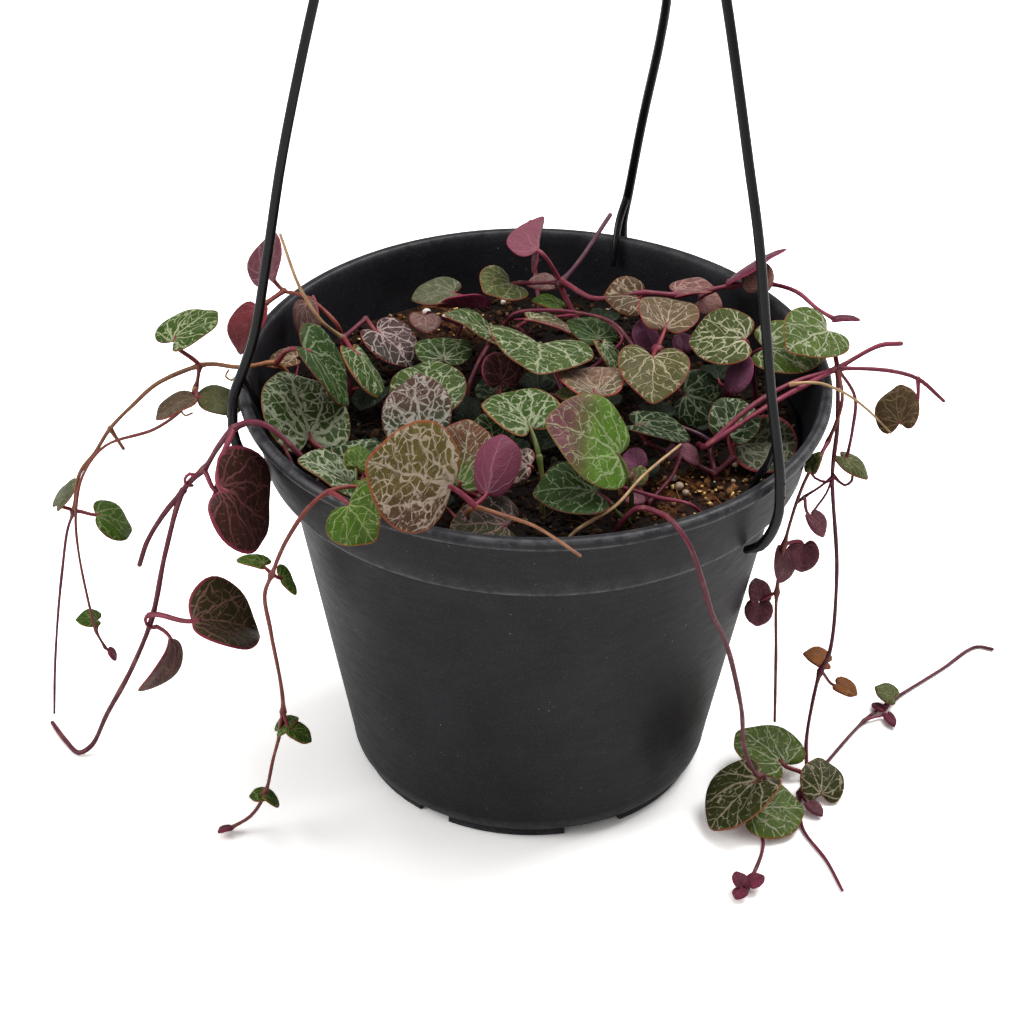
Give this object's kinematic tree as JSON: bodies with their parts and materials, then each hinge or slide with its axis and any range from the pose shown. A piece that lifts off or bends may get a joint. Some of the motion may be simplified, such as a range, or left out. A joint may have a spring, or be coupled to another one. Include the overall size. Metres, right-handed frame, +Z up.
{
  "type": "string of hearts in a hanging pot",
  "caption": "Trailing heart-leaved plant with silver-netted leaves and thin red stems in a round black nursery pot of soil, with a wire-like plastic hanger and hook.",
  "frame": {"origin": "on the pot's axis, on the surface that the pot and the trailing stems rest on", "axes": "+Z up along the pot's axis, +X to the right and -Y to the front, where the long runs of leaves fall to both sides"},
  "size_m": [0.2418, 0.1538, 0.3986],
  "materials": {
    "pot_plastic": "charcoal black moulded plastic with a fine grain, semi-matt, glossier at the lip",
    "hanger_plastic": "glossy black plastic rod",
    "soil": "loose brown coir and bark with gold flecks and white perlite grains",
    "leaf": "waxy fleshy leaves, dark green to purple-brown with a silver-white net of veins, thin red edges, dusty pink undersides, on thin burgundy stems",
    "dry_stem": "dry tan stem"
  },
  "bodies": {
    "root": {"pot": "pot_plastic", "soil": "soil", "hanger_arm_right": "hanger_plastic", "hanger_arm_left": "hanger_plastic", "hanger_arm_back": "hanger_plastic", "hanger_hook": "hanger_plastic", "stem_left_01": "leaf", "stem_left_02": "leaf", "stem_left_03": "leaf", "stem_front_01": "leaf", "stem_front_02": "leaf", "stem_middle_01": "leaf", "stem_middle_02": "leaf", "stem_front_03": "leaf", "stem_middle_03": "leaf", "stem_middle_04": "leaf", "stem_back_01": "leaf", "stem_back_02": "leaf", "runner_back": "leaf", "stem_right_01": "leaf", "stem_right_02": "leaf", "stem_right_03": "leaf", "stem_right_04": "leaf", "stem_front_04": "leaf", "dried_stem_front": "dry_stem", "runner_left": "leaf", "trailing_stem_left_outer": "leaf", "trailing_stem_left_inner": "leaf", "trailing_stem_front_left": "leaf", "trailing_stem_front_right": "leaf", "trailing_stem_right": "leaf", "trailing_stem_back": "leaf"}
  },
  "joints": []
}
